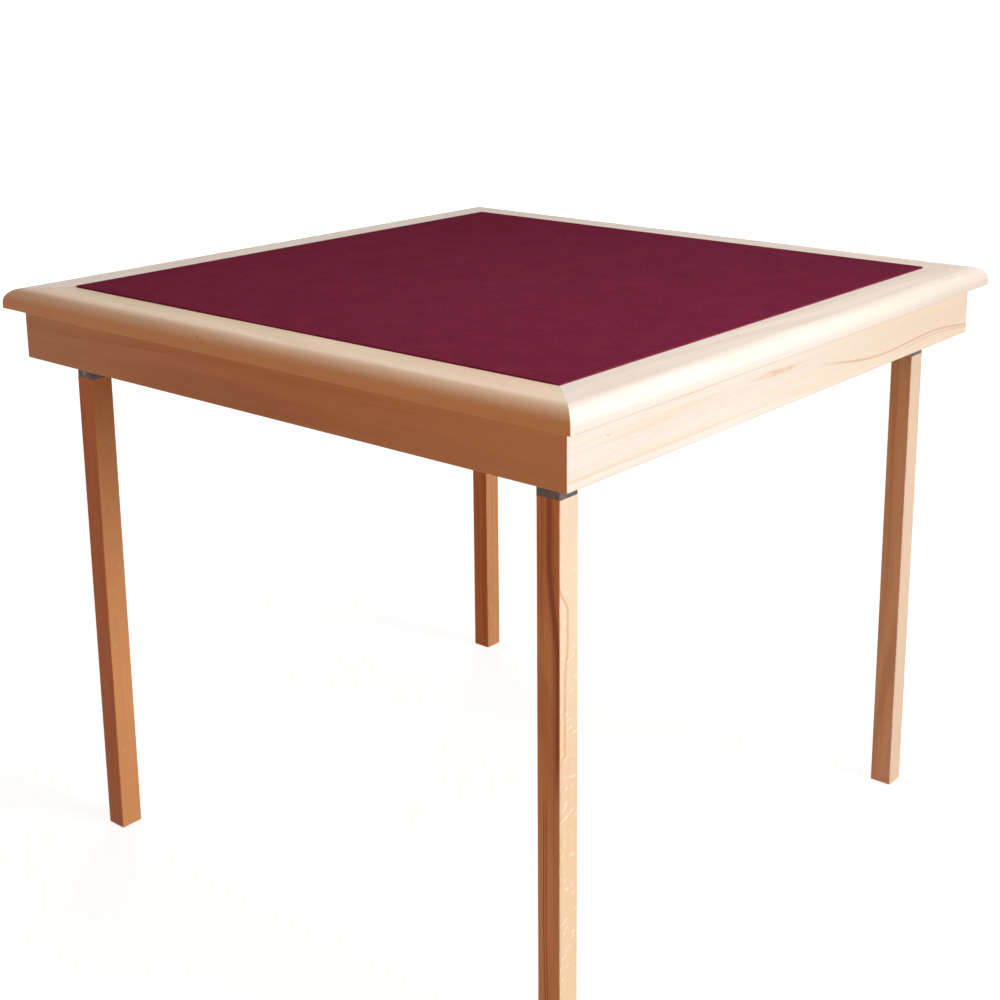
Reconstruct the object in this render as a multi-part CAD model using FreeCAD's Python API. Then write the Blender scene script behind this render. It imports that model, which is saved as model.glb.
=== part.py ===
import FreeCAD, Part
import math
import os

os.makedirs("parts", exist_ok=True)

# A square card table with folding legs, in millimetres. The origin is on the floor under the middle
# of the table, +Z up. The front is the -Y side and the left the -X side.

# Table
table_side = 900.0
table_height = 740.0  # floor to the top of the wooden frame
running_gap = 0.3  # between faces that pass each other
bore_gap = 0.05  # round a pin or a screw in its hole
overrun = 1.0  # how far a cutting tool runs past the face that it cuts

# Frame rails
rail_seen_width = 63.0
rail_ledge = 12.0
rail_thickness = 25.0
rail_round_radius = 18.0
rail_edge_radius = 1.5

# Playing panel and felt
panel_thickness = 10.0
felt_thickness = 2.0
felt_stand = 1.0  # how far the felt stands above the frame
felt_edge_radius = 1.5

# Mitre splines
spline_thickness = 4.0
spline_width = 24.0
spline_length = 48.0
spline_inset = 37.5  # table edges to the middle of a spline

# Aprons
apron_setback = 19.0
apron_thickness = 20.0
apron_height = 64.0
apron_edge_radius = 2.0

# Cleats and corner blocks
cleat_side = 18.0
cleat_chamfer = 4.0
cleat_end_gap = 3.0
rail_screw_shares = (0.2, 0.8)  # places of the screws along the cleat
apron_screw_shares = (0.12, 0.72)
block_side = 22.0
block_recess = 6.0

# Legs
leg_side = 30.0
leg_inset = 60.0  # table edge to the leg's outer face
leg_edge_radius = 1.5
pivot_drop = 31.0  # frame underside to the pivot

# Glides
glide_radius = 9.0
glide_thickness = 1.5
glide_nail_radius = 1.2
glide_nail_length = 14.0

# Leg shoes
shoe_wall = 1.2
shoe_bend = 2.5
shoe_show = 26.0  # apron bottom to the shoe's lower edge
shoe_lip = 0.6  # wood left in front of the flanges

# Leg brackets
bracket_wall = 2.0
bracket_bend = 3.0
sector_margin = 9.0  # lock hole centre to the rim of the lock plate
plate_apron_gap = 3.0
plate_inner_reach = 7.0  # base plate beyond the leg, towards the middle
plate_fold_reach = 52.0  # base plate beyond the pivot, along the folded leg
plate_corner_cut = 16.0
plate_corner_radius = 3.0
lug_drop = 14.0

# Pivot pins
pin_radius = 4.0
pin_head_radius = 6.5
pin_head_height = 2.0

# Lock springs
lock_radius = 22.0  # pivot to button
button_radius = 4.0
button_play = 0.2
button_stand = 1.2
leaf_width = 10.0
leaf_wall = 0.9
leaf_above_button = 8.0
leaf_below_button = 34.0
leaf_corner_radius = 4.0
leaf_rivet_rise = 5.0
pocket_depth = 6.0
pocket_gap = 1.5
rivet_radius = 1.5
rivet_head_radius = 3.0
rivet_head_height = 0.8

# Screws
screw_faces = 8  # flat sides round a screw, a rivet or a glide nail
screw_radius = 2.0
screw_head_radius = 4.0
screw_head_height = 2.0
screw_bite = 12.0  # how far a screw goes into the second piece
panel_screw_bite = 7.0
shoe_screw_radius = 1.5
shoe_screw_head_radius = 3.0
shoe_screw_head_height = 1.0
shoe_screw_length = 11.0
shoe_side_screw_drop = 43.0
shoe_back_screw_drop = 52.0

# Places that follow from the sizes
half_side = table_side / 2
frame_top = table_height
frame_bottom = frame_top - rail_thickness
opening = half_side - rail_seen_width
ledge_edge = opening - rail_ledge
ledge_top = frame_top + felt_stand - felt_thickness - panel_thickness
felt_half = opening - running_gap
panel_half = felt_half - felt_thickness
apron_outer = half_side - apron_setback
apron_inner = apron_outer - apron_thickness
apron_bottom = frame_bottom - apron_height
leg_half = leg_side / 2
leg_place = half_side - leg_inset - leg_half
pivot_height = frame_bottom - pivot_drop
shoe_bottom = apron_bottom - shoe_show - pivot_height
cheek_inner = leg_half + running_gap
cheek_outer = cheek_inner + bracket_wall
sector_radius = lock_radius + sector_margin
plate_bottom = pivot_drop - bracket_wall
plate_outer = apron_inner - leg_place - plate_apron_gap
plate_inner = leg_half + plate_inner_reach
leaf_outer = leg_half - shoe_wall
leaf_top = leaf_above_button - lock_radius
leaf_bottom = -lock_radius - leaf_below_button
leaf_rivet_height = leaf_bottom + leaf_rivet_rise

corners = ("front_left", "front_right", "back_right", "back_left")
sides = ("front", "right", "back", "left")

across = FreeCAD.Vector(1, 0, 0)
along = FreeCAD.Vector(0, 1, 0)
up = FreeCAD.Vector(0, 0, 1)


def plan(x, y):
    return FreeCAD.Vector(x, y, 0)


def side(y, z):
    return FreeCAD.Vector(0, y, z)


def outline(points, radii):
    """The face inside the points, each corner rounded by its own radius."""
    edges = []
    ends = []
    for index, (corner, radius) in enumerate(zip(points, radii)):
        before = (points[index - 1] - corner).normalize()
        after = (points[(index + 1) % len(points)] - corner).normalize()
        if radius == 0:
            ends.append((corner, corner))
            continue
        half_angle = before.getAngle(after) / 2
        reach = radius / math.tan(half_angle)
        inward = (before + after).normalize()
        start = corner + before * reach
        end = corner + after * reach
        middle = corner + inward * (radius / math.sin(half_angle) - radius)
        edges.append(Part.Arc(start, middle, end).toShape())
        ends.append((start, end))
    for index, (start, end) in enumerate(ends):
        edges.append(Part.LineSegment(ends[index - 1][1], start).toShape())
    return Part.Face(Part.Wire(Part.__sortEdges__(edges)))


def plan_slab(points, radii, low, high):
    """A slab whose outline is drawn in plan, from height low to height high."""
    face = outline([plan(*point) for point in points], radii)
    face.translate(up * low)
    return face.extrude(up * (high - low))


def side_slab(points, radii, low, high):
    """A slab whose outline is drawn from the side, from low to high along X."""
    face = outline([side(*point) for point in points], radii)
    face.translate(across * low)
    return face.extrude(across * (high - low))


def block(low, high):
    """A plain box between two corners."""
    size = FreeCAD.Vector(*high) - FreeCAD.Vector(*low)
    return Part.makeBox(size.x, size.y, size.z, FreeCAD.Vector(*low))


def square(half):
    return [(-half, -half), (half, -half), (half, half), (-half, half)]


def rod(radius, start, direction, length):
    return Part.makeCylinder(radius, length, start, direction)


def stud(radius, start, direction, length):
    """A straight shank or head with a few flat sides, or its hole."""
    turn = FreeCAD.Rotation(up, direction)
    angles = [2 * math.pi * (side_index + 1 / 2) / screw_faces for side_index in range(screw_faces)]
    rim = [plan(radius * math.cos(angle), radius * math.sin(angle)) for angle in angles]
    points = [start + turn.multVec(point) for point in rim]
    face = Part.Face(Part.makePolygon(points + points[:1]))
    return face.extrude(direction * length)


def turned(shape, quarter):
    """The shape turned by quarter turns about the middle of the table."""
    copy = shape.copy()
    copy.rotate(FreeCAD.Vector(0, 0, 0), up, 90 * quarter)
    return copy


def at_corner(shape, quarter):
    """A piece drawn about the pivot of the front left leg, placed at one of the four corners."""
    copy = shape.copy()
    copy.translate(FreeCAD.Vector(-leg_place, -leg_place, pivot_height))
    return turned(copy, quarter)


def save(name, shape):
    shape.exportStep("parts/" + name + ".step")


def headed_screw(seat, direction, radius, head_radius, head_height, length, gap):
    """A screw whose head lies on the seat, or its hole when there is a gap round it."""
    shank = stud(radius + gap, seat, direction, length + gap)
    head = stud(head_radius + gap, seat, direction * -1, head_height)
    return shank.fuse(head).removeSplitter()


def sunk_screw(seat, direction, length, gap):
    """A screw whose head is sunk flush with the seat, or its hole."""
    shank = stud(screw_radius + gap, seat, direction, length + gap)
    head = stud(screw_head_radius + gap, seat, direction, screw_head_height + gap)
    return shank.fuse(head).removeSplitter()


def wood_screw(seat, direction, gap):
    length = bracket_wall + screw_bite
    return headed_screw(seat, direction, screw_radius, screw_head_radius, screw_head_height, length, gap)


def shoe_screw(seat, direction, gap):
    radius = shoe_screw_radius
    head_radius = shoe_screw_head_radius
    head_height = shoe_screw_head_height
    return headed_screw(seat, direction, radius, head_radius, head_height, shoe_screw_length, gap)


def mitred(bar):
    """What is left of a bar along the front when both ends are mitred."""
    wedge = [(-half_side, -half_side), (half_side, -half_side), (0, 0)]
    return bar.common(plan_slab(wedge, [0, 0, 0], 0, table_height + felt_stand))


# Frame

def rail_bar():
    """The section of a rail, run along the whole front."""
    section = [
        (-half_side, frame_bottom),
        (-half_side, frame_top),
        (-opening, frame_top),
        (-opening, ledge_top),
        (-ledge_edge, ledge_top),
        (-ledge_edge, frame_bottom),
    ]
    return side_slab(section, [rail_edge_radius, rail_round_radius, 0, 0, 0, 0], -half_side, half_side)


def spline(gap):
    """A tongue across the mitre of the front left corner, or its slot."""
    half_length = spline_length / 2 + gap
    half_width = spline_width / 2 + gap
    half_thick = spline_thickness / 2 + gap
    tongue = block((-half_length, -half_width, -half_thick), (half_length, half_width, half_thick))
    tongue.rotate(FreeCAD.Vector(0, 0, 0), up, 45)
    middle = half_side - spline_inset
    height = (frame_bottom + ledge_top) / 2
    tongue.translate(FreeCAD.Vector(-middle, -middle, height))
    return tongue


def panel_screw_pair(gap):
    """Screws up through the ledge of the front rail into the panel."""
    length = ledge_top - frame_bottom + panel_screw_bite
    place = -(opening + ledge_edge) / 2
    spread = ledge_edge / 2
    seats = [FreeCAD.Vector(x, place, frame_bottom) for x in (-spread, spread)]
    return [sunk_screw(seat, up, length, gap) for seat in seats]


def cleat_span():
    """The stretch of the front apron between the base plates of its two brackets."""
    start = -leg_place + plate_inner + cleat_end_gap
    end = leg_place - plate_fold_reach - cleat_end_gap
    return start, end


def cleat_screw_places(shares):
    start, end = cleat_span()
    return [start + (end - start) * share for share in shares]


def rail_screw_pair(gap):
    """Screws up through the front cleat into the rail."""
    places = cleat_screw_places(rail_screw_shares)
    seats = [FreeCAD.Vector(x, -apron_inner + cleat_side / 2, frame_bottom - cleat_side) for x in places]
    return [sunk_screw(seat, up, cleat_side + screw_bite, gap) for seat in seats]


def apron_screw_pair(gap):
    """Screws through the front cleat into the apron."""
    places = cleat_screw_places(apron_screw_shares)
    seats = [FreeCAD.Vector(x, -apron_inner + cleat_side, frame_bottom - cleat_side / 2) for x in places]
    return [sunk_screw(seat, along * -1, cleat_side + screw_bite, gap) for seat in seats]


def bracket_screw_set(gap):
    """Screws up through the base plate of a bracket, drawn about the pivot."""
    edge_place = (plate_outer + cheek_outer) / 2
    side_places = (0, plate_fold_reach - screw_head_radius * 2)
    seats = [FreeCAD.Vector(-edge_place, y, plate_bottom) for y in side_places]
    back_places = (-screw_head_radius * 2, leg_half)
    seats += [FreeCAD.Vector(x, -edge_place, plate_bottom) for x in back_places]
    return [wood_screw(seat, up, gap) for seat in seats]


def all_round(pieces):
    """The pieces of the front side or front left corner, repeated at all four."""
    return [turned(piece, quarter) for quarter in range(4) for piece in pieces]


def all_corners(pieces):
    return [at_corner(piece, quarter) for quarter in range(4) for piece in pieces]


def frame_rail():
    cutters = [spline(bore_gap), turned(spline(bore_gap), 1)]
    cutters += panel_screw_pair(bore_gap) + rail_screw_pair(bore_gap)
    for quarter in (0, 1):
        cutters += [at_corner(hole, quarter) for hole in bracket_screw_set(bore_gap)]
    return mitred(rail_bar()).cut(cutters)


def apron():
    """A mitred board under the front rail, with its lower edges eased."""
    section = [
        (-apron_outer, apron_bottom),
        (-apron_inner, apron_bottom),
        (-apron_inner, frame_bottom),
        (-apron_outer, frame_bottom),
    ]
    bar = side_slab(section, [apron_edge_radius, apron_edge_radius, 0, 0], -half_side, half_side)
    return mitred(bar).cut(apron_screw_pair(bore_gap))


def cleat():
    start, end = cleat_span()
    low = frame_bottom - cleat_side
    near = -apron_inner
    far = near + cleat_side
    section = [
        (near, low),
        (far - cleat_chamfer, low),
        (far, low + cleat_chamfer),
        (far, frame_bottom),
        (near, frame_bottom),
    ]
    bar = side_slab(section, [0, 0, 0, 0, 0], start, end)
    return bar.cut(rail_screw_pair(bore_gap) + apron_screw_pair(bore_gap))


def corner_block():
    """A three-sided glue block in the corner of the aprons, drawn about the pivot."""
    inner = apron_inner - leg_place
    points = [(-inner, -inner), (block_side - inner, -inner), (-inner, block_side - inner)]
    bottom = apron_bottom + block_recess - pivot_height
    return plan_slab(points, [0, 0, 0], bottom, plate_bottom)


# Playing surface

def board():
    return plan_slab(square(panel_half), [felt_edge_radius] * 4, ledge_top, ledge_top + panel_thickness)


def playing_panel():
    return board().cut(all_round(panel_screw_pair(bore_gap)))


def felt_cover():
    """Felt laid over the board and down its edges, rolled over at the rim."""
    felt_top = ledge_top + panel_thickness + felt_thickness
    corner_radius = felt_edge_radius + felt_thickness
    cover = plan_slab(square(felt_half), [corner_radius] * 4, ledge_top, felt_top)
    rim = [edge for edge in cover.Edges if edge.BoundBox.ZMin > ledge_top + panel_thickness]
    return cover.makeFillet(felt_edge_radius, rim).cut(board())


# Legs, drawn about the pivot: the leg folds towards +Y, its outer side is -X

def swing_space(radius, low):
    """Everything below the pivot and, above it, what lies within a radius of it."""
    below = block((-leg_side, -leg_side, low), (leg_side, leg_side, 0))
    return below.fuse(rod(radius, across * -leg_side, across, leg_side * 2))


def leaf_pocket():
    half_width = leaf_width / 2 + pocket_gap
    low = (leaf_outer - pocket_depth, -half_width, leaf_bottom - pocket_gap)
    high = (leg_half, half_width, leaf_top + pocket_gap)
    return block(low, high)


def shoe_screw_set(gap):
    """Two screws in the sides of the shoe and one in its back."""
    seats = [(across, FreeCAD.Vector(-leg_half, 0, -shoe_side_screw_drop))]
    seats.append((across * -1, FreeCAD.Vector(leg_half, leg_half / 2, -shoe_side_screw_drop)))
    seats.append((along, FreeCAD.Vector(0, -leg_half, -shoe_back_screw_drop)))
    return [shoe_screw(seat, direction, gap) for direction, seat in seats]


def glide(gap):
    """A flat glide on its nail, or the hole for it."""
    floor = FreeCAD.Vector(0, 0, -pivot_height)
    disc = Part.makeCone(glide_radius - glide_thickness / 2, glide_radius, glide_thickness, floor, up)
    nail = stud(glide_nail_radius + gap, floor, up, glide_thickness + glide_nail_length + gap)
    return disc.fuse(nail).removeSplitter()


def pivot_hole():
    return rod(pin_radius + bore_gap, across * -leg_side, across, leg_side * 2)


def leg():
    foot = glide_thickness - pivot_height
    corner_radii = [leg_edge_radius] * 4
    lower = plan_slab(square(leg_half), corner_radii, foot, shoe_bottom)
    under_shoe = leg_half - shoe_wall
    top_plan = [
        (-under_shoe, -under_shoe),
        (under_shoe, -under_shoe),
        (under_shoe, leg_half),
        (-under_shoe, leg_half),
    ]
    upper = plan_slab(top_plan, [shoe_bend, shoe_bend, 0, 0], shoe_bottom, leg_half)
    upper = upper.common(swing_space(leg_half - running_gap, shoe_bottom))
    cutters = [leaf_pocket(), pivot_hole(), glide(bore_gap)] + shoe_screw_set(bore_gap)
    return lower.fuse(upper).cut(cutters)


def leg_shoe():
    """A channel round three sides of the leg, with half-round flanges about the pivot."""
    inner = leg_half - shoe_wall
    front = leg_half - shoe_lip
    channel = [
        (-leg_half, -leg_half),
        (leg_half, -leg_half),
        (leg_half, front),
        (inner, front),
        (inner, -inner),
        (-inner, -inner),
        (-inner, front),
        (-leg_half, front),
    ]
    inner_bend = shoe_bend - shoe_wall
    radii = [shoe_bend, shoe_bend, 0, 0, inner_bend, inner_bend, 0, 0]
    shoe = plan_slab(channel, radii, shoe_bottom, leg_half).common(swing_space(leg_half, shoe_bottom))
    button_hole = rod(button_radius + button_play, FreeCAD.Vector(0, 0, -lock_radius), across, leg_side)
    rivet_hole = stud(rivet_radius + bore_gap, FreeCAD.Vector(0, 0, leaf_rivet_height), across, leg_side)
    return shoe.cut([pivot_hole(), button_hole, rivet_hole] + shoe_screw_set(bore_gap))


def lock_spring():
    """A leaf inside the shoe with a button that stands out through shoe and lock plate."""
    half_width = leaf_width / 2
    points = [
        (-half_width, leaf_bottom),
        (half_width, leaf_bottom),
        (half_width, leaf_top),
        (-half_width, leaf_top),
    ]
    radii = [leaf_wall, leaf_wall, leaf_corner_radius, leaf_corner_radius]
    leaf = side_slab(points, radii, leaf_outer - leaf_wall, leaf_outer)
    rivet_start = FreeCAD.Vector(0, 0, leaf_rivet_height)
    leaf = leaf.cut(stud(rivet_radius + bore_gap, rivet_start, across, leg_side))
    button_start = FreeCAD.Vector(leaf_outer - leaf_wall, 0, -lock_radius)
    button_length = cheek_outer + button_stand - button_start.x
    button = rod(button_radius, button_start, across, button_length)
    rim = [edge for edge in button.Edges if edge.BoundBox.XMin > cheek_outer]
    button = button.makeChamfer(button_stand * 3 / 4, rim)
    return leaf.fuse(button).removeSplitter()


def spring_rivet():
    """Joins the foot of the leaf to the flange of the shoe."""
    inner_end = leaf_outer - leaf_wall
    start = FreeCAD.Vector(inner_end - rivet_head_height, 0, leaf_rivet_height)
    end = FreeCAD.Vector(leg_half, 0, leaf_rivet_height)
    inner_head = stud(rivet_head_radius, start, across, rivet_head_height)
    shank = stud(rivet_radius, start, across, leg_half - start.x)
    outer_head = stud(rivet_head_radius, end, across, rivet_head_height)
    return inner_head.fuse([shank, outer_head]).removeSplitter()


# Brackets, drawn about the pivot

def pivot_pin():
    shank = rod(pin_radius, across * -cheek_outer, across, cheek_outer * 2)
    end_radius = pin_head_radius - pin_head_height / 2
    heads = []
    for direction in (across, across * -1):
        seat = direction * cheek_outer
        heads.append(Part.makeCone(pin_head_radius, end_radius, pin_head_height, seat, direction))
    return shank.fuse(heads).removeSplitter()


def base_plate():
    points = [
        (-plate_outer, -plate_outer),
        (plate_inner, -plate_outer),
        (plate_inner, plate_fold_reach - plate_corner_cut),
        (plate_inner - plate_corner_cut, plate_fold_reach),
        (-plate_outer, plate_fold_reach),
    ]
    return plan_slab(points, [plate_corner_radius] * 5, plate_bottom, pivot_drop)


def leg_bracket():
    """Base plate with a back web and two cheeks; the inner cheek is the lock plate."""
    channel = [
        (-cheek_outer, -cheek_outer),
        (cheek_outer, -cheek_outer),
        (cheek_outer, sector_radius),
        (cheek_inner, sector_radius),
        (cheek_inner, -cheek_inner),
        (-cheek_inner, -cheek_inner),
        (-cheek_inner, sector_radius),
        (-cheek_outer, sector_radius),
    ]
    inner_bend = bracket_bend - bracket_wall
    radii = [bracket_bend, bracket_bend, 0, 0, inner_bend, inner_bend, 0, 0]
    walls = plan_slab(channel, radii, -sector_radius, plate_bottom)
    quarter_points = [
        (-cheek_outer, -sector_radius),
        (sector_radius, -sector_radius),
        (sector_radius, plate_bottom),
        (-cheek_outer, plate_bottom),
    ]
    quarter_round = side_slab(quarter_points, [0, sector_radius, 0, 0], -cheek_outer, cheek_outer)
    lug_reach = pin_head_radius + bracket_wall
    surplus_points = [
        (-lug_reach, -sector_radius - overrun),
        (-lug_reach, -lug_drop),
        (lug_reach, -lug_drop),
        (sector_radius + overrun, bracket_wall),
        (sector_radius + overrun, -sector_radius - overrun),
    ]
    surplus_radii = [0, bracket_bend, lug_drop, 0, 0]
    surplus = side_slab(surplus_points, surplus_radii, -cheek_outer - overrun, -cheek_inner + overrun)
    walls = walls.common(quarter_round).cut(surplus)
    lock_hole = button_radius + button_play
    holes = [pivot_hole()]
    holes.append(rod(lock_hole, FreeCAD.Vector(0, 0, -lock_radius), across, leg_side))
    holes.append(rod(lock_hole, FreeCAD.Vector(0, lock_radius, 0), across, leg_side))
    return walls.fuse(base_plate()).removeSplitter().cut(holes + bracket_screw_set(bore_gap))


# Pieces on each side
for quarter, name in enumerate(sides):
    save("frame_rail_" + name, turned(frame_rail(), quarter))
    save("apron_" + name, turned(apron(), quarter))
    save("cleat_" + name, turned(cleat(), quarter))

# Pieces at each corner
for quarter, name in enumerate(corners):
    save("corner_block_" + name, at_corner(corner_block(), quarter))
    save("leg_bracket_" + name, at_corner(leg_bracket(), quarter))
    save("pivot_pin_" + name, at_corner(pivot_pin(), quarter))
    save("leg_" + name, at_corner(leg(), quarter))
    save("leg_shoe_" + name, at_corner(leg_shoe(), quarter))
    save("shoe_screws_" + name, Part.makeCompound([at_corner(s, quarter) for s in shoe_screw_set(0)]))
    save("lock_spring_" + name, at_corner(lock_spring(), quarter))
    save("spring_rivet_" + name, at_corner(spring_rivet(), quarter))
    save("glide_" + name, at_corner(glide(0), quarter))

# Playing surface and hidden fastenings
save("playing_panel", playing_panel())
save("felt_cover", felt_cover())
save("mitre_splines", Part.makeCompound(all_round([spline(0)])))
save("panel_screws", Part.makeCompound(all_round(panel_screw_pair(0))))
save("rail_screws", Part.makeCompound(all_round(rail_screw_pair(0))))
save("apron_screws", Part.makeCompound(all_round(apron_screw_pair(0))))
save("bracket_screws", Part.makeCompound(all_corners(bracket_screw_set(0))))
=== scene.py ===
import collections
import math

import bmesh
import bpy
import numpy as np
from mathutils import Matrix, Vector


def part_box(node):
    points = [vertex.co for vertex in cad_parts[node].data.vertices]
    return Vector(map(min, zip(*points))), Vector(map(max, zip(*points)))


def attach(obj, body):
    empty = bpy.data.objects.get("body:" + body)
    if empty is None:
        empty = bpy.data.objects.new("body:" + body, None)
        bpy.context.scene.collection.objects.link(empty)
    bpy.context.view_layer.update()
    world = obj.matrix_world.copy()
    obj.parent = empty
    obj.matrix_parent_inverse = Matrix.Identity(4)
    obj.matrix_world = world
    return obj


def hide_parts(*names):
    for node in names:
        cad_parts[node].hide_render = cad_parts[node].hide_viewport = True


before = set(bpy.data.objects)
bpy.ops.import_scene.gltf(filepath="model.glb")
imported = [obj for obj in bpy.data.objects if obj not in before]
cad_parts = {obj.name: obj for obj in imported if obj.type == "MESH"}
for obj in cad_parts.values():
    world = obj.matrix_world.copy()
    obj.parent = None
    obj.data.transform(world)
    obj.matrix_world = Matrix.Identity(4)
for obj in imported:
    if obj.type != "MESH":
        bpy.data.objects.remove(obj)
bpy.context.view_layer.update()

# Camera. It stands off the near corner of the table and a little above it. The view is shifted down
# and a little to the left of the lens's axis, so that the verticals stay nearly upright.

camera_data = bpy.data.cameras.new("camera")
camera_data.sensor_width = 36.0
camera_data.lens = 58.213
camera_data.shift_x = -0.045
camera_data.shift_y = -0.15
camera = bpy.data.objects.new("camera", camera_data)
camera.location = (-1.56033, -1.31864, 1.13834)
camera.rotation_euler = (1.33312, 0.00225, -0.89124)
bpy.context.scene.collection.objects.link(camera)
bpy.context.scene.camera = camera


# Studio. A pale floor and white surroundings. Cool window light falls on the front, warm light on the
# left side and soft light from overhead, and a lamp behind the table lets the far sides be read.


class Shade:
    """A socket of a shader's nodes. Arithmetic on it adds Math nodes."""

    def __init__(self, tree, socket=None):
        self.tree = tree
        self.socket = socket

    def node(self, kind, settings, values, output=0):
        """Adds a node: first its settings, then the values or links of its sockets."""
        made = self.tree.nodes.new(kind)
        for name, value in settings.items():
            setattr(made, name, value)
        for name, value in values.items():
            if isinstance(value, Shade):
                self.tree.links.new(value.socket, made.inputs[name])
            else:
                made.inputs[name].default_value = value
        return Shade(self.tree, made.outputs[output])

    def math(self, operation, first, second=0.0):
        return self.node("ShaderNodeMath", {"operation": operation}, {0: first, 1: second})

    def __add__(self, other):
        return self.math("ADD", self, other)

    def __sub__(self, other):
        return self.math("SUBTRACT", self, other)

    def __rsub__(self, other):
        return self.math("SUBTRACT", other, self)

    def __mul__(self, other):
        return self.math("MULTIPLY", self, other)

    def __pow__(self, other):
        return self.math("POWER", self, other)

    def __abs__(self):
        return self.math("ABSOLUTE", self)

    __radd__ = __add__
    __rmul__ = __mul__

    def larger(self, other):
        return self.math("MAXIMUM", self, other)

    def rise(self, low, high):
        """0 below low and 1 above high, with a smooth step between them."""
        values = {"Value": self, "From Min": low, "From Max": high}
        return self.node("ShaderNodeMapRange", {"interpolation_type": "SMOOTHSTEP"}, values)

    def blend(self, first, second):
        """The first colour where this is 0 and the second where it is 1."""
        factor, colour_before, colour_after, colour_out = 0, 6, 7, 2
        values = {factor: self, colour_before: first, colour_after: second}
        return self.node("ShaderNodeMix", {"data_type": "RGBA"}, values, colour_out)

    def noise(self, scale, detail=2.0, roughness=0.5):
        values = {"Vector": self, "Scale": scale, "Detail": detail, "Roughness": roughness}
        return self.node("ShaderNodeTexNoise", {}, values)

    def bands(self, scale, detail=1.0):
        """Noise along one number, so that equal numbers look the same."""
        values = {"W": self, "Scale": scale, "Detail": detail}
        return self.node("ShaderNodeTexNoise", {"noise_dimensions": "1D"}, values)

    def vector(self, x, y, z):
        return self.node("ShaderNodeCombineXYZ", {}, {"X": x, "Y": y, "Z": z})

    def place(self, output="Object"):
        """The three object coordinates of a point, or the parts of its normal."""
        whole = self.node("ShaderNodeTexCoord", {}, {}, output)
        return [whole.node("ShaderNodeSeparateXYZ", {}, {"Vector": whole}, axis) for axis in range(3)]

    def relief(self, strength, depth):
        """The normal of a surface whose height is this number times the depth in metres."""
        values = {"Height": self, "Strength": strength, "Distance": depth}
        return self.node("ShaderNodeBump", {}, values)

    def feed(self, shader, name):
        self.tree.links.new(self.socket, shader.inputs[name])


def seen_or_mirrored(tree):
    """1 for what the camera sees, itself or in a polished surface or through a clear one, and 0 for
    light on its way to other surfaces."""
    camera_ray, glossy_ray, through_ray = (
        Shade(tree).node("ShaderNodeLightPath", {}, {}, name)
        for name in ("Is Camera Ray", "Is Glossy Ray", "Is Transmission Ray")
    )
    return camera_ray.larger(glossy_ray).larger(through_ray)


def white_surroundings():
    """A world that is white on camera and gives only a dim warm light."""
    world = bpy.data.worlds.new("surroundings")
    bpy.context.scene.world = world
    world.use_nodes = True
    tree = world.node_tree
    room_light = (0.08, 0.05, 0.035, 1)
    white = (1, 1, 1, 1)
    colour = seen_or_mirrored(tree).blend(room_light, white)
    colour.feed(tree.nodes["Background"], "Color")


def pale_floor():
    """A large square at height 0, pale on camera and warmer for the light that it sends up. Its glow
    grows with the distance from the middle, so that it meets the white surroundings unseen."""
    reach = 30.0
    mesh = bpy.data.meshes.new("floor")
    corners = [(-reach, -reach, 0), (reach, -reach, 0), (reach, reach, 0), (-reach, reach, 0)]
    mesh.from_pydata(corners, [], [(0, 1, 2, 3)])
    floor = bpy.data.objects.new("floor", mesh)
    bpy.context.scene.collection.objects.link(floor)
    material = bpy.data.materials.new("pale_floor")
    material.use_nodes = True
    tree = material.node_tree
    shader = tree.nodes["Principled BSDF"]
    seen = seen_or_mirrored(tree)
    warm_boards = (0.32, 0.185, 0.1, 1)
    pale = (0.34, 0.34, 0.34, 1)
    seen.blend(warm_boards, pale).feed(shader, "Base Color")
    east, north = seen.place()[:2]
    glow_starts, glow_full = 1.0, 5.0
    far = ((east**2 + north**2) ** 0.5).rise(glow_starts, glow_full)
    glow = far.blend((0.86, 0.86, 0.86, 1), (1, 1, 1, 1))
    seen.blend((0, 0, 0, 1), glow).feed(shader, "Emission Color")
    shader.inputs["Emission Strength"].default_value = 1.0
    shader.inputs["Roughness"].default_value = 1.0
    shader.inputs["Specular IOR Level"].default_value = 0.0
    mesh.materials.append(material)


def lamp(name, width, height, power, colour, place, aim, spread=180):
    """A soft rectangular lamp. A spread below 180 degrees fades its light away from its aim."""
    data = bpy.data.lights.new(name, "AREA")
    data.spread = math.radians(spread)
    data.shape = "RECTANGLE"
    data.size = width
    data.size_y = height
    data.energy = power
    data.color = colour
    light = bpy.data.objects.new(name, data)
    light.location = place
    light.rotation_euler = (Vector(aim) - Vector(place)).to_track_quat("-Z", "Y").to_euler()
    light.visible_camera = False
    bpy.context.scene.collection.objects.link(light)
    return light


white_surroundings()
pale_floor()
near_corner = (-0.35, -0.45, 0.7)
table_middle = (0, 0, 0.55)
cool_white = (0.93, 0.98, 1.0)
soft_white = (1.0, 0.975, 0.95)
amber = (1.0, 0.37, 0.09)
cream = (1.0, 0.95, 0.89)
lamp("window", 2.8, 3.6, 48, cool_white, place=(1.3, -6.6, 2.1), aim=near_corner, spread=50)
lamp("overhead", 1.2, 1.2, 7.3, soft_white, place=(0.1, -0.8, 2.25), aim=near_corner, spread=115)
lamp("warm_side", 2.4, 2.4, 98, amber, place=(-6.0, -1.6, 1.4), aim=table_middle)
behind = lamp("behind", 3.6, 3.6, 350, cream, place=(4.6, 4.6, 1.7), aim=table_middle)
behind.visible_glossy = False
bpy.context.scene.view_settings.view_transform = "Standard"


# Frame. Four rails of pale beech, rounded on their outer edge, mitred and glued at the corners round
# a rebate for the playing panel. They have a clear satin varnish, and the glue line shows. The left rail
# is warmer, partly as painted shade of the left side, and the front rail's upright face is browner
# towards its right end, as painted shade where the window's light falls off.

AXES = {"x": 0, "y": 1, "z": 2}
# What the marks of one piece are placed by: its three coordinates, its cloudiness, a 1 on the faces
# that lie along the rays, and its darkest brown.
Wood = collections.namedtuple("Wood", "place cloud lengthwise brown")


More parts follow.
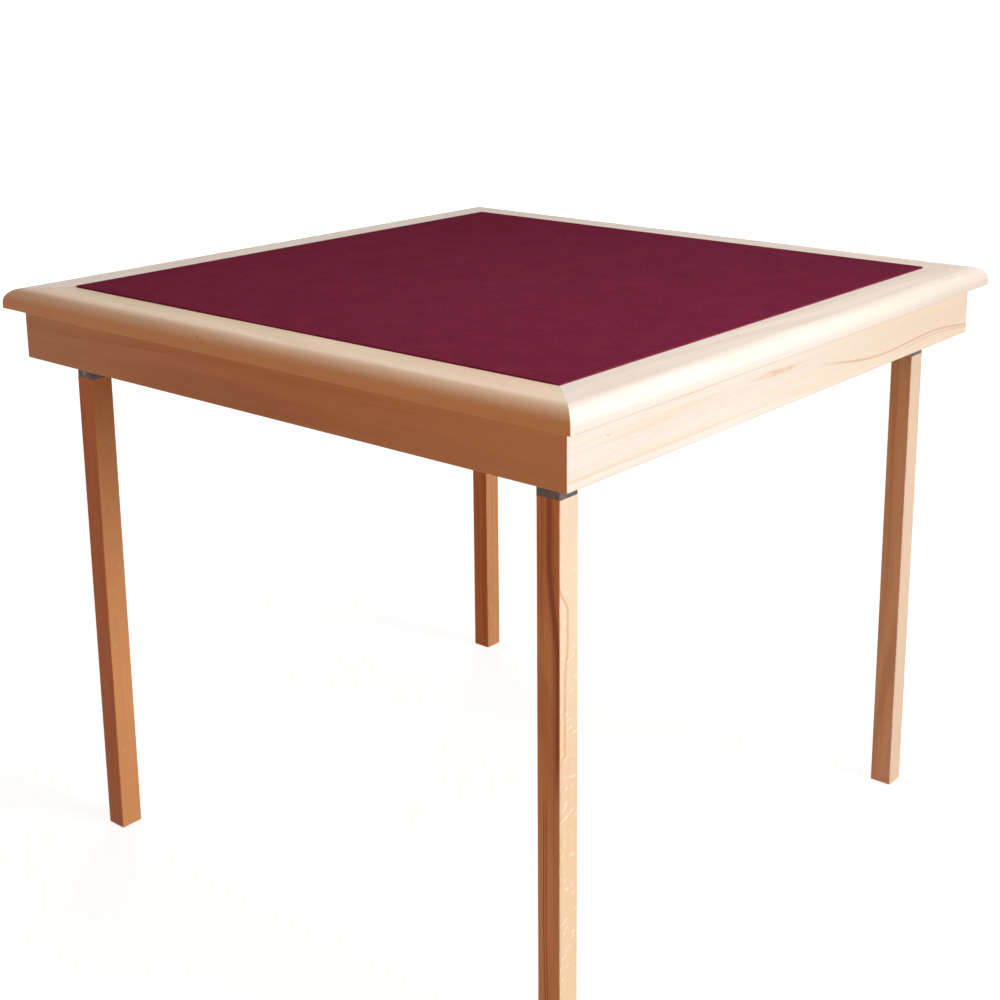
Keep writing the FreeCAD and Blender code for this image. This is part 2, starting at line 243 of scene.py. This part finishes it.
def surface(name, constants):
    """A new material with the values that are the same all over, its shader and its nodes."""
    material = bpy.data.materials.new(name)
    material.use_nodes = True
    shader = material.node_tree.nodes["Principled BSDF"]
    for socket, value in constants.items():
        shader.inputs[socket].default_value = value
    return material, shader, Shade(material.node_tree)


def tinted(colour, factors):
    """A colour with its red, green and blue each multiplied, up to 1."""
    return (*(min(1, part * factor) for part, factor in zip(colour, factors)), 1)


def beech(
    name, grain, radial, heart, pale, ruddy, streaks=0.4, flakes=0.3, glue=0.0, silk=0.0, marks=None
):
    """Varnished beech. Growth rings are bands of the distance from the tree's heart, bent slowly along
    the grain. heart is where it crosses the radial axis and the axis across that. Rays are thin ribbons
    that run out from the heart: short brown dashes where a face cuts across them and pale flakes where
    it lies along them, which are the faces that lengthwise picks out. streaks, flakes, glue and silk
    say how much shows of the dark streaks, the rays, the glue in the mitres and the paler tone of the
    faces along the rays. marks adds what only this piece has."""
    material, shader, start = surface(
        name, {"Specular IOR Level": 0.28, "Coat Weight": 0.04, "Coat Roughness": 0.3}
    )
    place = start.place()
    cross = ({"x", "y", "z"} - {grain, radial}).pop()
    along = place[AXES[grain]]
    out = place[AXES[radial]]
    over = place[AXES[cross]]

    def drawn_out(across, lengthways, detail=2.0):
        """Noise with about this many grains to a metre across the wood and along it."""
        return start.vector(out * across, over * across, along * lengthways).noise(1.0, detail)

    wander = drawn_out(2.5, 1.3, 1.0) - 0.5
    ring = ((out - heart[0]) ** 2 + (over - heart[1]) ** 2) ** 0.5 + wander * 0.05
    growth = ring.bands(210, 2.0)
    lines = drawn_out(420, 7)
    fibre = drawn_out(1500, 45)
    cloud = drawn_out(9, 2.4)
    lengthwise = abs(start.place("Normal")[AXES[cross]]).rise(0.6, 0.8)
    figure = 1 - lengthwise * 0.7
    tone = ((growth - 0.5) * 0.4 + (lines - 0.5) * 0.3) * figure + fibre * 0.1 + cloud * 0.2 + 0.35
    colour = tone.rise(0.38, 0.62).blend(pale, ruddy)
    darker = tinted(ruddy, (0.66, 0.5, 0.38))
    broad = (ring + wander * 0.02).bands(62).rise(0.62, 0.8) * 0.6
    narrow = 1 - abs((ring + wander * 0.03).bands(46) - 0.5).rise(0.004, 0.03)
    brown = drawn_out(150, 3.2).rise(0.54, 0.64)
    streak = (broad + narrow * 0.4 + brown * 0.6) * figure * streaks
    colour = streak.blend(colour, darker)
    pores = drawn_out(1500, 230, 1.0).rise(0.58, 0.72)
    colour = (pores * figure * min(0.3, streaks)).blend(colour, darker)
    rays = start.vector(over * 900, out * 80, (along - out * 0.4) * 200).noise(1.0, 1.0).rise(0.62, 0.7)
    rays = rays * (lengthwise * 0.65 + 0.35)
    if silk:
        colour = (lengthwise * silk).blend(colour, tinted(pale, (1.12, 1.24, 1.22)))
    ray_colour = lengthwise.blend(tinted(ruddy, (0.66, 0.5, 0.4)), tinted(pale, (1.25, 1.5, 1.7)))
    colour = (rays * flakes).blend(colour, ray_colour)
    if glue:
        to_mitre = abs(abs(place[0]) - abs(place[1]))
        glue_line = (1 - to_mitre.rise(0.0003, 0.001)) * glue
        colour = glue_line.blend(colour, darker)
    if marks:
        colour = marks(Wood(place, cloud, lengthwise, darker), colour)
    colour.feed(shader, "Base Color")
    (0.4 + fibre * 0.12 + lines * 0.06).feed(shader, "Roughness")
    (fibre + lines).relief(0.25, 0.0002).feed(shader, "Normal")
    return material


def dress(nodes, material):
    """Gives CAD nodes their finish."""
    for node in nodes:
        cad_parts[node].material_slots[0].material = material


def spot(along, height, place, size):
    """1 at a place on a board and 0 outside an ellipse of this half length and half height."""
    across = (along - place[0]) * (1 / size[0])
    up = (height - place[1]) * (1 / size[1])
    return 1 - ((across**2 + up**2 + 0.0001) ** 0.5).rise(0.3, 1.0)


def pin_knot(wood, colour):
    """One small knot on the rounded edge."""
    along, height = wood.place[1:]
    knot = spot(along, height, place=(0.077, 0.7323), size=(0.0035, 0.0014))
    return (knot * 0.75).blend(colour, wood.brown)


def painted_shade_end(wood, colour):
    """Painted shade: the upright face is browner towards one end, where the window's light falls off."""
    tan = (0.75, 0.645, 0.555, 1)
    along = wood.place[0]
    # Painted shade: browner towards the right end of the upright face, where the light falls off.
    return (along.rise(-0.1, 0.45) * wood.lengthwise * 0.8).blend(colour, tan)


rail_pale = (0.9, 0.82, 0.75, 1)
rail_ruddy = (0.85, 0.745, 0.66, 1)
# The left rail's warmer colours are partly its own tone and partly painted shade of the left side.
warmer_shaded_rail_pale = (0.85, 0.69, 0.52, 1)
warmer_shaded_rail_ruddy = (0.785, 0.61, 0.435, 1)
rail_middle = 0.4185
rail_heart_depth = 0.12
rail_heart_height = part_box("frame_rail_front")[1].z - rail_heart_depth
rails = (
    # The front rail's upright face has painted shade towards its right end.
    ("front", "x", -rail_middle - 0.02, rail_pale, rail_ruddy, painted_shade_end),
    ("right", "y", rail_middle + 0.03, rail_pale, rail_ruddy, None),
    ("back", "x", rail_middle - 0.01, rail_pale, rail_ruddy, None),
    ("left", "y", -rail_middle + 0.02, warmer_shaded_rail_pale, warmer_shaded_rail_ruddy, pin_knot),
)
for side, grain, heart_across, pale, ruddy, marks in rails:
    rail_heart = (rail_heart_height, heart_across)
    name = "rail_beech_" + side
    looks = {"streaks": 0.18, "flakes": 0.12, "glue": 0.25, "marks": marks}
    rail_finish = beech(name, grain, "z", rail_heart, pale, ruddy, **looks)
    dress(["frame_rail_" + side], rail_finish)
spline_heart = (0.6, 0)
spline_finish = beech("spline_beech", "x", "z", spline_heart, rail_pale, rail_ruddy)
dress(["mitre_splines"], spline_finish)


# Aprons. Four plain boards under the rails, mitred at the corners, sawn flat so that the growth rings
# run in long waves. The boards differ in colour as the trees did. The left board is darker and redder,
# partly as painted shade of the left side, which the window doesn't light.


def brown_veins(wood, colour):
    """The marks of the front board. Towards one end it is tan, partly its own tone and partly painted
    shade where the light falls off, with a brown vein and a fainter one below it, whose height is a slope
    and a wave of the way along. A faint straight vein runs low down near the other end. Two reddish
    patches have ragged edges: the upper one, along the top edge under the rail, is partly painted shade
    cast by the rail. There are two pin knots."""
    tan = (0.85, 0.67, 0.5, 1)
    straw = (0.93, 0.74, 0.52, 1)
    vein_brown = (0.68, 0.43, 0.26, 1)
    reddish = (0.8, 0.47, 0.26, 1)
    straight_height = 0.6612
    along, height = wood.place[0], wood.place[2]
    waver = wood.cloud - 0.5
    # Tan towards the right end: partly the board's tone, partly painted shade where the light falls off.
    colour = (along.rise(-0.2, 0.35) * 0.85).blend(colour, tan)
    bands = along.vector(along * 2.2, height * 150, 0.0).noise(1.0, 2.0).rise(0.48, 0.66)
    colour = (bands * 0.4).blend(colour, straw)

    turn = along * 18.5 + 1.393
    vein_height = turn.math("SINE", turn) * 0.00537 - along * 0.0406 + 0.6795
    above_vein = height - vein_height
    vein = 1 - abs(above_vein + waver * 0.003).rise(0.0003, 0.0024)
    fainter_vein = 1 - abs(above_vein + 0.0048 - (along - 0.3) * 0.012).rise(0.0002, 0.0018)
    straight_vein = 1 - abs(height - straight_height + waver * 0.002).rise(0.0003, 0.0022)
    veins = (vein * along.rise(0.02, 0.13)).larger(fainter_vein * along.rise(0.2, 0.27) * 0.6) * 0.75
    veins = veins.larger(straight_vein * (1 - along.rise(-0.2, 0.0)) * 0.25)
    colour = veins.blend(colour, vein_brown)

    ragged = along.vector(along * 45, height * 420, 0.0).noise(1.0, 2.0).rise(0.36, 0.62) * 0.7 + 0.3
    patch = spot(along, height + waver * 0.02, place=(-0.055, 0.695), size=(0.07, 0.0055)) * 0.75
    # The upper patch along the top edge is partly a reddish tint and partly painted shade under the rail.
    top_edge_tint_and_shade = spot(along, height, place=(-0.23, 0.709), size=(0.13, 0.007)) * 0.6
    colour = (patch.larger(top_edge_tint_and_shade) * ragged).blend(colour, reddish)

    knot = spot(along, height, place=(-0.3673, 0.6945), size=(0.0028, 0.0011)) * 0.7
    fainter_knot = spot(along, height, place=(-0.165, 0.6835), size=(0.0025, 0.001)) * 0.4
    return knot.larger(fainter_knot).blend(colour, wood.brown)


def paler_ends(wood, colour):
    """The left board is paler towards its near end and greyer towards its far end."""
    pale_brown = (0.8, 0.62, 0.5, 1)
    grey_brown = (0.7, 0.62, 0.6, 1)
    along = wood.place[1]
    colour = ((1 - along.rise(-0.42, 0.0)) * 0.6).blend(colour, pale_brown)
    return (along.rise(0.15, 0.45) * 0.3).blend(colour, grey_brown)


apron_pale = (0.94, 0.88, 0.8, 1)
apron_ruddy = (0.89, 0.815, 0.715, 1)
# The left board's darker, redder colours are partly its own tone and partly painted shade of the left side.
redder_and_shaded_pale = (0.69, 0.475, 0.325, 1)
redder_and_shaded_ruddy = (0.59, 0.375, 0.235, 1)
apron_middle = 0.421
apron_heart_depth = 0.06
apron_heart = apron_middle - apron_heart_depth
aprons = (
    ("front", "x", "y", (-apron_heart, 0.678), apron_pale, apron_ruddy, 0.16, 0.12, brown_veins),
    ("right", "y", "x", (apron_heart, 0.70), apron_pale, apron_ruddy, 0.4, 0.3, None),
    ("back", "x", "y", (apron_heart, 0.665), apron_pale, apron_ruddy, 0.45, 0.3, None),
    ("left", "y", "x", (-apron_heart, 0.67), redder_and_shaded_pale, redder_and_shaded_ruddy, 0.22, 0.3, paler_ends),
)
for side, grain, radial, heart, pale, ruddy, streaks, flakes, marks in aprons:
    name = "apron_beech_" + side
    looks = {"streaks": streaks, "flakes": flakes, "glue": 0.6, "marks": marks}
    apron_finish = beech(name, grain, radial, heart, pale, ruddy, **looks)
    dress(["apron_" + side], apron_finish)


# Cleats and glue blocks. Plain battens and three-sided blocks of a duller beech behind the aprons. The
# battens are screwed up into the rails and sideways into the aprons, and the blocks are glued.

dull_pale = (0.76, 0.62, 0.46, 1)
dull_ruddy = (0.68, 0.52, 0.36, 1)
cleat_heart = (0.64, 0)
for grain, sides in (("x", ("front", "back")), ("y", ("left", "right"))):
    cleat_finish = beech("cleat_beech_" + grain, grain, "z", cleat_heart, dull_pale, dull_ruddy)
    dress(["cleat_" + side for side in sides], cleat_finish)
corners = ("front_left", "front_right", "back_right", "back_left")
block_heart = (0.3, 0)
block_finish = beech("block_beech", "z", "x", block_heart, dull_pale, dull_ruddy)
dress(["corner_block_" + corner for corner in corners], block_finish)


# Playing panel. A plywood board in the rebate. Only its lower face shows, with the broad figure of a
# peeled veneer.

panel_pale = (0.74, 0.60, 0.42, 1)
panel_ruddy = (0.64, 0.47, 0.30, 1)
panel_heart = (0.62, 0.05)
panel_finish = beech(
    "panel_plywood", "x", "z", panel_heart, panel_pale, panel_ruddy, streaks=0.25, flakes=0.15
)
dress(["playing_panel"], panel_finish)


# Felt. A square of burgundy wool felt glued over the board and turned down round its edges, so that
# it stands a little above the wood with a soft rolled edge.


def new_piece(name, points, faces, material):
    """A smooth mesh object of these points and faces, with doubled points merged and its faces
    outwards."""
    mesh = bpy.data.meshes.new(name)
    mesh.from_pydata(points.tolist(), [], faces.tolist())
    work = bmesh.new()
    work.from_mesh(mesh)
    bmesh.ops.remove_doubles(work, verts=work.verts, dist=1e-6)
    bmesh.ops.recalc_face_normals(work, faces=work.faces)
    work.to_mesh(mesh)
    work.free()
    mesh.materials.append(material)
    mesh.shade_smooth()
    piece = bpy.data.objects.new(name, mesh)
    bpy.context.scene.collection.objects.link(piece)
    return piece


def grid_faces(rows, columns, first=0, closed=False):
    """The four-sided faces between neighbouring points of a grid, joined round when it is closed."""
    row = np.arange(rows - 1)[:, None] * columns
    column = np.arange(columns if closed else columns - 1)[None, :]
    after = (column + 1) % columns
    below = row + columns
    corners_of = (row + column, row + after, below + after, below + column)
    return np.stack([corner.ravel() for corner in corners_of], axis=1) + first


def felt_finish():
    """Matt burgundy wool: a fine nap, small tufts and a faint cloudiness."""
    sheen = {"Sheen Weight": 0.02, "Sheen Roughness": 0.6, "Sheen Tint": (0.9, 0.45, 0.55, 1)}
    material, shader, start = surface("burgundy_felt", {**sheen, "Specular IOR Level": 0.0})
    dark_burgundy = (0.137, 0.0122, 0.034, 1)
    light_burgundy = (0.223, 0.0243, 0.062, 1)
    place = start.vector(*start.place())
    nap = place.noise(1700, 3.0, 0.7)
    tufts = place.noise(420, 2.0)
    cloud = place.noise(26, 3.0, 0.6)
    tone = nap * 0.35 + tufts * 0.45 + cloud * 0.2
    tone.rise(0.34, 0.66).blend(dark_burgundy, light_burgundy).feed(shader, "Base Color")
    (0.85 + nap * 0.15).feed(shader, "Roughness")
    (nap + tufts).relief(0.6, 0.0005).feed(shader, "Normal")
    return material


def felt_square():
    """A flat grid, and rings round it that go out by a distance and down by a drop. The distance grows
    along a flat rim and a quarter circle, and the drop then goes on to the bottom of the board. The
    rings wander by less than a fifth of a millimetre, by a product of two waves of the place along the
    edge."""
    low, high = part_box("felt_cover")
    corner_radius = 0.0035
    roll = 0.0008
    proud = 0.0007
    wander = 0.00008
    cells = 72
    corner_steps = 6
    roll_steps = 7
    drop_steps = 5
    quarter_circle = math.pi / 2
    felt_top = high.z + proud
    half = high.x - corner_radius
    line = np.linspace(-half, half, cells + 1)
    x, y = np.meshgrid(line, line)
    top = np.stack([x, y, np.full_like(x, felt_top)], axis=-1).reshape(-1, 3)
    bases = []
    angles = []
    for quarter in range(4):
        turn = quarter * quarter_circle
        side = np.stack([line, np.full_like(line, -half)], axis=1)
        rotation = np.array([[math.cos(turn), math.sin(turn)], [-math.sin(turn), math.cos(turn)]])
        bases += [side @ rotation, np.repeat(side[-1:] @ rotation, corner_steps, axis=0)]
        side_angle = turn - quarter_circle
        round_corner = np.linspace(0, quarter_circle, corner_steps + 2)[1:-1]
        angles += [np.full(cells + 1, side_angle), side_angle + round_corner]
    bases = np.concatenate(bases)
    angles = np.concatenate(angles)
    outwards = np.stack([np.cos(angles), np.sin(angles)], axis=1)
    bend = np.linspace(0, quarter_circle, roll_steps)
    rim = corner_radius - roll
    reach = np.concatenate([[0, rim / 2], rim + roll * np.sin(bend)])
    drop = np.concatenate([[0, 0], roll * (1 - np.cos(bend))])
    to_bottom = np.linspace(roll, felt_top - low.z, drop_steps)[1:]
    reach = np.concatenate([reach, np.full(to_bottom.size, corner_radius)])
    drop = np.concatenate([drop, to_bottom])
    along_edge = bases[:, 0] * 37 + bases[:, 1] * 41
    pull = wander * (1 + np.sin(along_edge * 3.1) * np.cos(along_edge * 1.7))
    reach = reach[:, None] - pull[None, :] * (reach[:, None] / corner_radius)
    outline = bases[None] + outwards[None] * reach[..., None]
    heights = np.broadcast_to((felt_top - drop)[:, None, None], (*reach.shape, 1))
    rings = np.concatenate([outline, heights], axis=-1)
    points = np.concatenate([top, rings.reshape(-1, 3)])
    top_faces = grid_faces(cells + 1, cells + 1)
    ring_faces = grid_faces(*reach.shape, first=len(top), closed=True)
    return new_piece("felt", points, np.concatenate([top_faces, ring_faces]), felt_finish())


felt = felt_square()
felt_layer = felt.modifiers.new("thickness", "SOLIDIFY")
felt_layer.thickness = 0.0026
felt_layer.offset = -1
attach(felt, "tabletop")
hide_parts("felt_cover")


# Legs. Square beech legs, redder than the frame, each with the heart of its tree on another side, so
# that brown streaks run down one face and pale flakes cross the next. The two back legs are darker and
# more orange: painted shade, for the tabletop shades them from the window.

leg_place = 0.375
leg_half = 0.015
leg_edge = -leg_place - leg_half


def brown_leg(wood, colour):
    """Dark heartwood down the left face: a soft band that bends from the middle of the face to its edge,
    and a thin pair of lines below it. That face is paler towards the foot. The front face is paler
    towards the top, and one tan vein bends in from its edge and out again. Both edges are the outer
    one, where the two faces meet."""
    pale_foot = (0.86, 0.68, 0.5, 1)
    pale_top = (0.96, 0.82, 0.64, 1)
    heartwood = (0.36, 0.125, 0.05, 1)
    vein_tan = (0.69, 0.39, 0.18, 1)
    half_gap_of_pair = 0.0016
    height = wood.place[2]
    in_on_front = wood.place[0] - leg_edge
    in_on_left = wood.place[1] - leg_edge
    front = wood.lengthwise
    left = 1 - front
    wobble = (wood.cloud - 0.5) * 0.012
    colour = ((1 - height.rise(0.15, 0.62)) * left * 0.5).blend(colour, pale_foot)
    colour = (height.rise(0.25, 0.65) * front * 0.6).blend(colour, pale_top)

    bend = height.rise(0.45, 0.57) * 0.0115 + 0.004
    band = (1 - abs(in_on_left - bend + wobble).rise(0.001, 0.006)) * height.rise(0.28, 0.36)
    from_pair = abs(in_on_left - 0.0155 - height * 0.01 + wobble)
    line_of_pair = 1 - abs(from_pair - half_gap_of_pair).rise(0.0002, 0.0014)
    pair = line_of_pair * (1 - height.rise(0.26, 0.34)) * 0.8
    colour = (band.larger(pair) * left * 0.95).blend(colour, heartwood)

    swell = height.rise(0.435, 0.47) * 0.0045 + 0.0088
    bend = height.rise(0.336, 0.352) * (1 - height.rise(0.505, 0.536)) * swell
    vein = 1 - abs(in_on_front - bend + wobble * 0.2).rise(0.0005, 0.0028)
    vein = vein * height.rise(0.334, 0.345) * (1 - height.rise(0.53, 0.54))
    return (vein * front * 0.65).blend(colour, vein_tan)


def amber_faces(wood, colour):
    """The front and back faces are more amber than the others."""
    amber_wood = (0.78, 0.565, 0.38, 1)
    return (wood.lengthwise * 0.85).blend(colour, amber_wood)


leg_woods = {
    "front_left": {
        "heart": (-leg_place + 0.05, -leg_place + 0.012),
        "pale": (0.81, 0.56, 0.37, 1),
        "ruddy": (0.67, 0.385, 0.22, 1),
        "streaks": 0.8,
        "flakes": 0.9,
        "silk": 0.65,
        "marks": brown_leg,
    },
    "front_right": {
        "heart": (leg_place + 0.045, -leg_place - 0.02),
        "pale": (0.97, 0.85, 0.77, 1),
        "ruddy": (0.88, 0.71, 0.61, 1),
        "streaks": 0.35,
        "flakes": 0.3,
        "marks": amber_faces,
    },
    # Painted shade: the back legs are darker and more orange, as the tabletop shades them.
    "back_right": {
        "heart": (leg_place + 0.06, leg_place + 0.02),
        "pale": (0.71, 0.34, 0.147, 1),
        "ruddy": (0.58, 0.252, 0.094, 1),
        "streaks": 0.4,
        "flakes": 0.2,
    },
    # Painted shade: darker and more orange, as the tabletop shades this leg.
    "back_left": {
        "heart": (-leg_place + 0.04, leg_place),
        "pale": (0.64, 0.29, 0.115, 1),
        "ruddy": (0.52, 0.21, 0.074, 1),
        "streaks": 0.5,
        "flakes": 0.2,
        "silk": 0.2,
    },
}
for corner, looks in leg_woods.items():
    leg_finish = beech("leg_beech_" + corner, "z", "x", **looks)
    dress(["leg_" + corner], leg_finish)


# Leg shoes and brackets. Zinc-plated steel, pressed from sheet. The shoe wraps three sides of the leg,
# and the bracket is screwed under the frame. The steel is a mottled grey, and the shoes are much darker
# than the brackets, partly as painted shade.


def plated_steel(name, bright, dull, roughness):
    """Steel with fine and coarse mottling and scratches that run up and down."""
    material, shader, start = surface(name, {"Metallic": 0.35, "Specular IOR Level": 0.3})
    x, y, z = start.place()
    place = start.vector(x, y, z)
    mottle = place.noise(140, 3.0, 0.65)
    stain = place.noise(32, 3.0, 0.6)
    scratches = start.vector(x * 900, y * 900, z * 60).noise(1.0, 2.0)
    (mottle * 0.5 + stain * 0.5).rise(0.36, 0.64).blend(dull, bright).feed(shader, "Base Color")
    (mottle * 0.16 + scratches * 0.1 + roughness).feed(shader, "Roughness")
    (scratches + mottle).relief(0.12, 0.0002).feed(shader, "Normal")
    return material


# The shoes' dark grey is partly painted shade, taken from the shaded side of a shoe.
shoe_steel = plated_steel(
    "shoe_steel", bright=(0.165, 0.142, 0.132, 1), dull=(0.085, 0.072, 0.066, 1), roughness=0.38
)
dress(["leg_shoe_" + corner for corner in corners], shoe_steel)
bracket_steel = plated_steel(
    "bracket_steel", bright=(0.36, 0.35, 0.34, 1), dull=(0.24, 0.23, 0.225, 1), roughness=0.36
)
dress(["leg_bracket_" + corner for corner in corners], bracket_steel)


# Lock springs. Leaves of blued spring steel inside the shoes, riveted at the foot, with a round button
# that stands out through the lock plate and is pressed by thumb to fold the leg.

spring_steel = plated_steel(
    "spring_steel", bright=(0.36, 0.37, 0.4, 1), dull=(0.22, 0.22, 0.25, 1), roughness=0.22
)
dress(["lock_spring_" + corner for corner in corners], spring_steel)
dress(["spring_rivet_" + corner for corner in corners], shoe_steel)


# Pivot pins. Steel pins through the cheeks of the bracket and the top of the leg, headed over at both
# ends.


def quarter_turned(points, quarter):
    """Points turned by quarter turns about the middle of the table."""
    turn = quarter * math.pi / 2
    cosine, sine = math.cos(turn), math.sin(turn)
    return points @ np.array([[cosine, sine, 0], [-sine, cosine, 0], [0, 0, 1]])


def spun(profile, steps):
    """A closed surface: each (radius, place) of the profile carried round the first axis."""
    radius, place = np.array(profile).T
    angle = np.linspace(0, 2 * math.pi, steps, endpoint=False)
    ring = np.stack([np.cos(angle), np.sin(angle)], axis=1)
    points = np.empty((len(radius), steps, 3))
    points[..., 0] = place[:, None]
    points[..., 1:] = radius[:, None, None] * ring[None]
    return points.reshape(-1, 3), grid_faces(len(radius), steps, closed=True)


def domed_end(radius, height, seat, steps):
    """Half of a flattened dome as (radius, place): from its pole down to its rim on the seat."""
    angle = np.linspace(0, math.pi / 2, steps)
    return [(radius * math.sin(a), seat + height * math.cos(a)) for a in angle]


pin_radius = 0.004
pin_head_radius = 0.0065
pin_head_height = 0.002
pin_sides = 28
cheek_outer = 0.0173
pivot_drop = 0.031
pivot_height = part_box("apron_front")[1].z - pivot_drop
pin_end = domed_end(pin_head_radius, pin_head_height, cheek_outer, steps=8)
pin_half = pin_end + [(pin_radius, cheek_outer)]
pin_profile = pin_half + [(radius, -place) for radius, place in reversed(pin_half)]
pin_points, pin_faces = spun(pin_profile, pin_sides)
for quarter, corner in enumerate(corners):
    pin_place = pin_points + (-leg_place, -leg_place, pivot_height)
    pin = new_piece("pin_" + corner, quarter_turned(pin_place, quarter), pin_faces, shoe_steel)
    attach(pin, "tabletop")
    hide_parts("pivot_pin_" + corner)


# Screws. Slotted steel wood screws: round heads hold the brackets and shoes, and flat heads are sunk
# in the cleats and under the ledge of the rails. Their slots stand as the screwdriver left them.

screw_steel = plated_steel(
    "screw_steel", bright=(0.4, 0.385, 0.35, 1), dull=(0.26, 0.245, 0.22, 1), roughness=0.3
)


def slotted_head(radius, rim, rise, slot_width, slot_floor, shank_radius, length):
    """A head about the third axis with its seat at 0. Rows run along the slot: a row at x goes out to
    the circle, and its height is the rim plus a dome that falls with the square of the distance, or the
    floor of the slot. A skirt, a shank and a tip close it below."""
    rows_beside_slot = 6
    points_to_row = 11
    below_seat = -0.0001
    tip_starts = -length * 0.8
    half_slot = slot_width / 2
    wall = half_slot * 1.02
    outer = np.linspace(wall, radius * 0.995, rows_beside_slot)[1:]
    rows = np.concatenate([-outer[::-1], [-wall, -half_slot, half_slot, wall], outer])
    columns = np.linspace(-1, 1, points_to_row)
    x = np.broadcast_to(rows[:, None], (rows.size, columns.size))
    y = columns[None] * np.sqrt(radius**2 - rows[:, None] ** 2)
    z = rim + rise * (1 - (x**2 + y**2) / radius**2)
    z = np.where(np.abs(x) <= half_slot, np.minimum(z, slot_floor), z)
    top = np.stack([x, y, z], axis=-1)
    rim_loop = np.concatenate([top[:, 0], top[-1, 1:-1], top[::-1, -1], top[0, -2:0:-1]])
    shank = shank_radius / radius
    loops = [rim_loop]
    for share, height in ((1, below_seat), (shank, below_seat), (shank, tip_starts), (0, -length)):
        loops.append(rim_loop * (share, share, 0) + (0, 0, height))
    points = np.concatenate([top.reshape(-1, 3), *loops])
    top_faces = grid_faces(rows.size, columns.size)
    skirt_faces = grid_faces(len(loops), len(rim_loop), first=rows.size * columns.size, closed=True)
    return points, np.concatenate([top_faces, skirt_faces])


def driven_in(head, seats, first_turn):
    """Copies of a head at each (place, direction out, quarter), each with its slot turned on."""
    points, faces = head
    turn_between = 2.4
    all_points = []
    all_faces = []
    for index, (seat, outwards, quarter) in enumerate(seats):
        turn = first_turn + index * turn_between
        out = np.array(outwards, float)
        first = np.array((0.0, 1.0, 0.0)) if out[1] == 0 else np.array((1.0, 0.0, 0.0))
        second = np.cross(out, first)
        slot = first * math.cos(turn) + second * math.sin(turn)
        axes = np.stack([slot, np.cross(out, slot), out])
        all_points.append(quarter_turned(points @ axes + seat, quarter))
        all_faces.append(faces + index * len(points))
    return np.concatenate(all_points), np.concatenate(all_faces)


sunk = {"radius": 0.0043, "rim": 0.0002, "rise": 0.00015, "slot_width": 0.0011, "slot_floor": -0.0007}
domed = {"radius": 0.004, "rim": 0.0004, "rise": 0.0016, "slot_width": 0.0011, "slot_floor": 0.0009}
small = {"radius": 0.003, "rim": 0.0002, "rise": 0.0008, "slot_width": 0.0008, "slot_floor": 0.0004}
cleat_head = slotted_head(**sunk, shank_radius=0.002, length=0.03)
ledge_head = slotted_head(**sunk, shank_radius=0.002, length=0.021)
round_head = slotted_head(**domed, shank_radius=0.002, length=0.014)
shoe_head = slotted_head(**small, shank_radius=0.0015, length=0.011)
down = (0, 0, -1)
inwards = (0, 1, 0)
bracket_places = ((-0.02515, 0), (-0.02515, 0.044), (-0.008, -0.02515), (0.015, -0.02515))
plate_thickness = 0.002
plate_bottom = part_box("leg_bracket_front_left")[1].z - plate_thickness
bracket_seats = [
    ((x - leg_place, y - leg_place, plate_bottom), down, quarter)
    for quarter in range(4)
    for x, y in bracket_places
]
ledge_place = -0.381
panel_screw_places = (-0.1875, 0.1875)
rail_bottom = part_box("frame_rail_front")[0].z
panel_seats = [
    ((x, ledge_place, rail_bottom), down, quarter) for quarter in range(4) for x in panel_screw_places
]
rail_screw_places = (-0.216, 0.186)
apron_screw_places = (-0.2696, 0.1324)
cleat_low, cleat_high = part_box("cleat_front")
cleat_middle = (cleat_low + cleat_high) / 2
rail_seats = [
    ((x, cleat_middle.y, cleat_low.z), down, quarter) for quarter in range(4) for x in rail_screw_places
]
apron_seats = [
    ((x, cleat_high.y, cleat_middle.z), inwards, quarter) for quarter in range(4) for x in apron_screw_places
]
table_screws = (
    ("bracket_screws", round_head, bracket_seats, 0.4),
    ("panel_screws", ledge_head, panel_seats, 1.1),
    ("rail_screws", cleat_head, rail_seats, 0.2),
    ("apron_screws", cleat_head, apron_seats, 1.9),
)
for node, head, seats, first_turn in table_screws:
    screws = new_piece("slotted_" + node, *driven_in(head, seats, first_turn), screw_steel)
    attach(screws, "tabletop")
    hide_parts(node)
shoe_places = (
    ((-0.015, 0, -0.043), (-1, 0, 0)),
    ((0.015, 0.0075, -0.043), (1, 0, 0)),
    ((0, -0.015, -0.052), (0, -1, 0)),
)
for quarter, corner in enumerate(corners):
    shoe_seats = [
        ((x - leg_place, y - leg_place, z + pivot_height), outwards, quarter)
        for (x, y, z), outwards in shoe_places
    ]
    shoe_screws = new_piece(
        "slotted_shoe_screws_" + corner, *driven_in(shoe_head, shoe_seats, 0.7 + quarter), screw_steel
    )
    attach(shoe_screws, "folding_leg_" + corner)
    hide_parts("shoe_screws_" + corner)


# Glides. Thin discs of pale nylon with a sloped rim, on nails that are driven up into the feet. The
# floor has scuffed them grey.


def nylon():
    """Off-white nylon with fine scuffs where there is dirt."""
    material, shader, start = surface("pale_nylon", {"Subsurface Weight": 0.08})
    clean = (0.74, 0.71, 0.65, 1)
    scuffed = (0.42, 0.39, 0.34, 1)
    place = start.vector(*start.place())
    scuffs = place.noise(900, 3.0, 0.7)
    dirt = place.noise(160, 2.0)
    (scuffs * dirt).rise(0.2, 0.42).blend(clean, scuffed).feed(shader, "Base Color")
    (0.4 + scuffs * 0.3).feed(shader, "Roughness")
    scuffs.relief(0.3, 0.0002).feed(shader, "Normal")
    return material


dress(["glide_" + corner for corner in corners], nylon())
